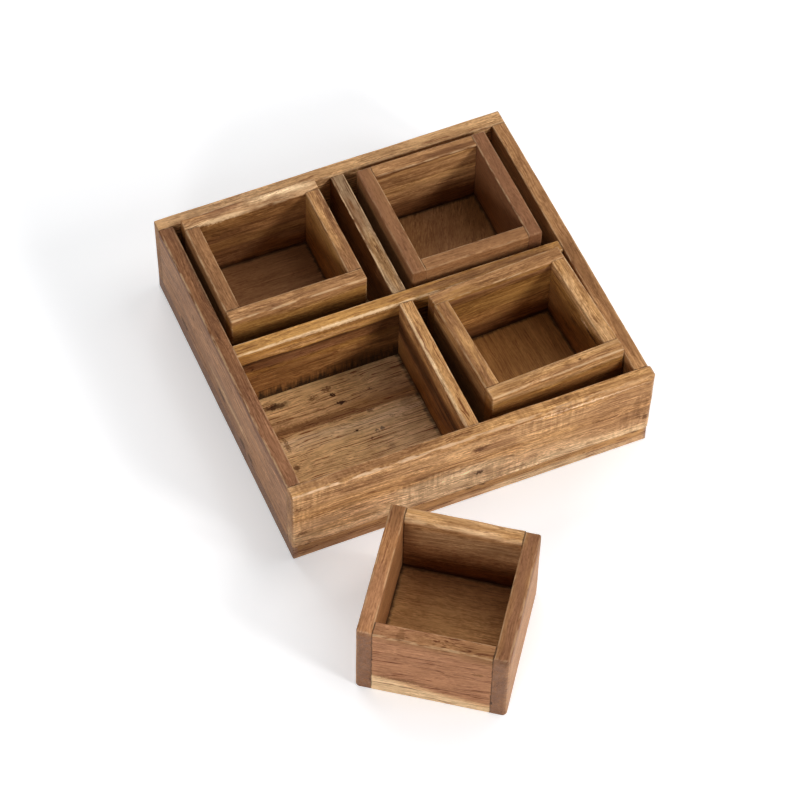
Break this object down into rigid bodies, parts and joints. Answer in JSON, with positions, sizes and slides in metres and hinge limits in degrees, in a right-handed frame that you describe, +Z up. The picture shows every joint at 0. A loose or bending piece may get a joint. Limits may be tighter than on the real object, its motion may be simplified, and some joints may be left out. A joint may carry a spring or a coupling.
{
  "type": "spice tray with loose boxes",
  "caption": "Open square wooden tray with a cross of dividers and loose square wooden boxes that lift out of its bays, for spices or other small things.",
  "frame": {"origin": "centre of the underside of the tray", "axes": "+X along the front wall to the right, +Y to the back, +Z up"},
  "size_m": [0.2002, 0.3193, 0.0597],
  "materials": {
    "tray_front_wall": "oiled, satin",
    "tray_back_wall": "oiled, satin",
    "tray_left_wall": "oiled, satin",
    "tray_right_wall": "oiled, satin",
    "long_divider": "oiled, satin",
    "back_divider": "oiled, satin",
    "front_divider": "oiled, satin",
    "base_front_board": "oiled, satin",
    "base_middle_board": "oiled, satin",
    "base_back_board": "oiled, satin",
    "back_left_box_front_wall": "oiled, satin",
    "back_left_box_back_wall": "oiled, satin",
    "back_left_box_left_wall": "oiled, satin",
    "back_left_box_right_wall": "oiled, satin",
    "back_left_box_bottom": "oiled, satin",
    "back_right_box_front_wall": "oiled, satin",
    "back_right_box_back_wall": "oiled, satin",
    "back_right_box_left_wall": "oiled, satin",
    "back_right_box_right_wall": "oiled, satin",
    "back_right_box_bottom": "oiled, satin",
    "front_right_box_front_wall": "oiled, satin",
    "front_right_box_back_wall": "oiled, satin",
    "front_right_box_left_wall": "oiled, satin",
    "front_right_box_right_wall": "oiled, satin",
    "front_right_box_bottom": "oiled, satin",
    "loose_box_front_wall": "oiled, satin",
    "loose_box_back_wall": "oiled, satin",
    "loose_box_left_wall": "oiled, satin",
    "loose_box_right_wall": "oiled, satin",
    "loose_box_bottom": "oiled, satin",
    "pin_wood": "plain, unfinished"
  },
  "bodies": {
    "tray": {"tray_front_wall": "tray_front_wall", "tray_back_wall": "tray_back_wall", "tray_left_wall": "tray_left_wall", "tray_right_wall": "tray_right_wall", "long_divider": "long_divider", "back_divider": "back_divider", "front_divider": "front_divider", "base_front_board": "base_front_board", "base_middle_board": "base_middle_board", "base_back_board": "base_back_board", "tray_corner_pins": "pin_wood", "tray_divider_pins": "pin_wood", "tray_base_pins": "pin_wood"},
    "back_left_box": {"back_left_box_front_wall": "back_left_box_front_wall", "back_left_box_back_wall": "back_left_box_back_wall", "back_left_box_left_wall": "back_left_box_left_wall", "back_left_box_right_wall": "back_left_box_right_wall", "back_left_box_bottom": "back_left_box_bottom", "back_left_box_pins": "pin_wood"},
    "back_right_box": {"back_right_box_front_wall": "back_right_box_front_wall", "back_right_box_back_wall": "back_right_box_back_wall", "back_right_box_left_wall": "back_right_box_left_wall", "back_right_box_right_wall": "back_right_box_right_wall", "back_right_box_bottom": "back_right_box_bottom", "back_right_box_pins": "pin_wood"},
    "front_right_box": {"front_right_box_front_wall": "front_right_box_front_wall", "front_right_box_back_wall": "front_right_box_back_wall", "front_right_box_left_wall": "front_right_box_left_wall", "front_right_box_right_wall": "front_right_box_right_wall", "front_right_box_bottom": "front_right_box_bottom", "front_right_box_pins": "pin_wood"},
    "loose_box": {"loose_box_front_wall": "loose_box_front_wall", "loose_box_back_wall": "loose_box_back_wall", "loose_box_left_wall": "loose_box_left_wall", "loose_box_right_wall": "loose_box_right_wall", "loose_box_bottom": "loose_box_bottom", "loose_box_pins": "pin_wood"}
  },
  "joints": [
    {"name": "back_left_box_lift", "type": "slide", "parent": "tray", "child": "back_left_box", "axis": [0, 0, 1], "range_m": [0, 0.06]},
    {"name": "back_right_box_lift", "type": "slide", "parent": "tray", "child": "back_right_box", "axis": [0, 0, 1], "range_m": [0, 0.06]},
    {"name": "front_right_box_lift", "type": "slide", "parent": "tray", "child": "front_right_box", "axis": [0, 0, 1], "range_m": [0, 0.06]},
    {"name": "loose_box_lift", "type": "slide", "parent": "tray", "child": "loose_box", "axis": [0, 0, 1], "range_m": [0, 0.06]}
  ]
}
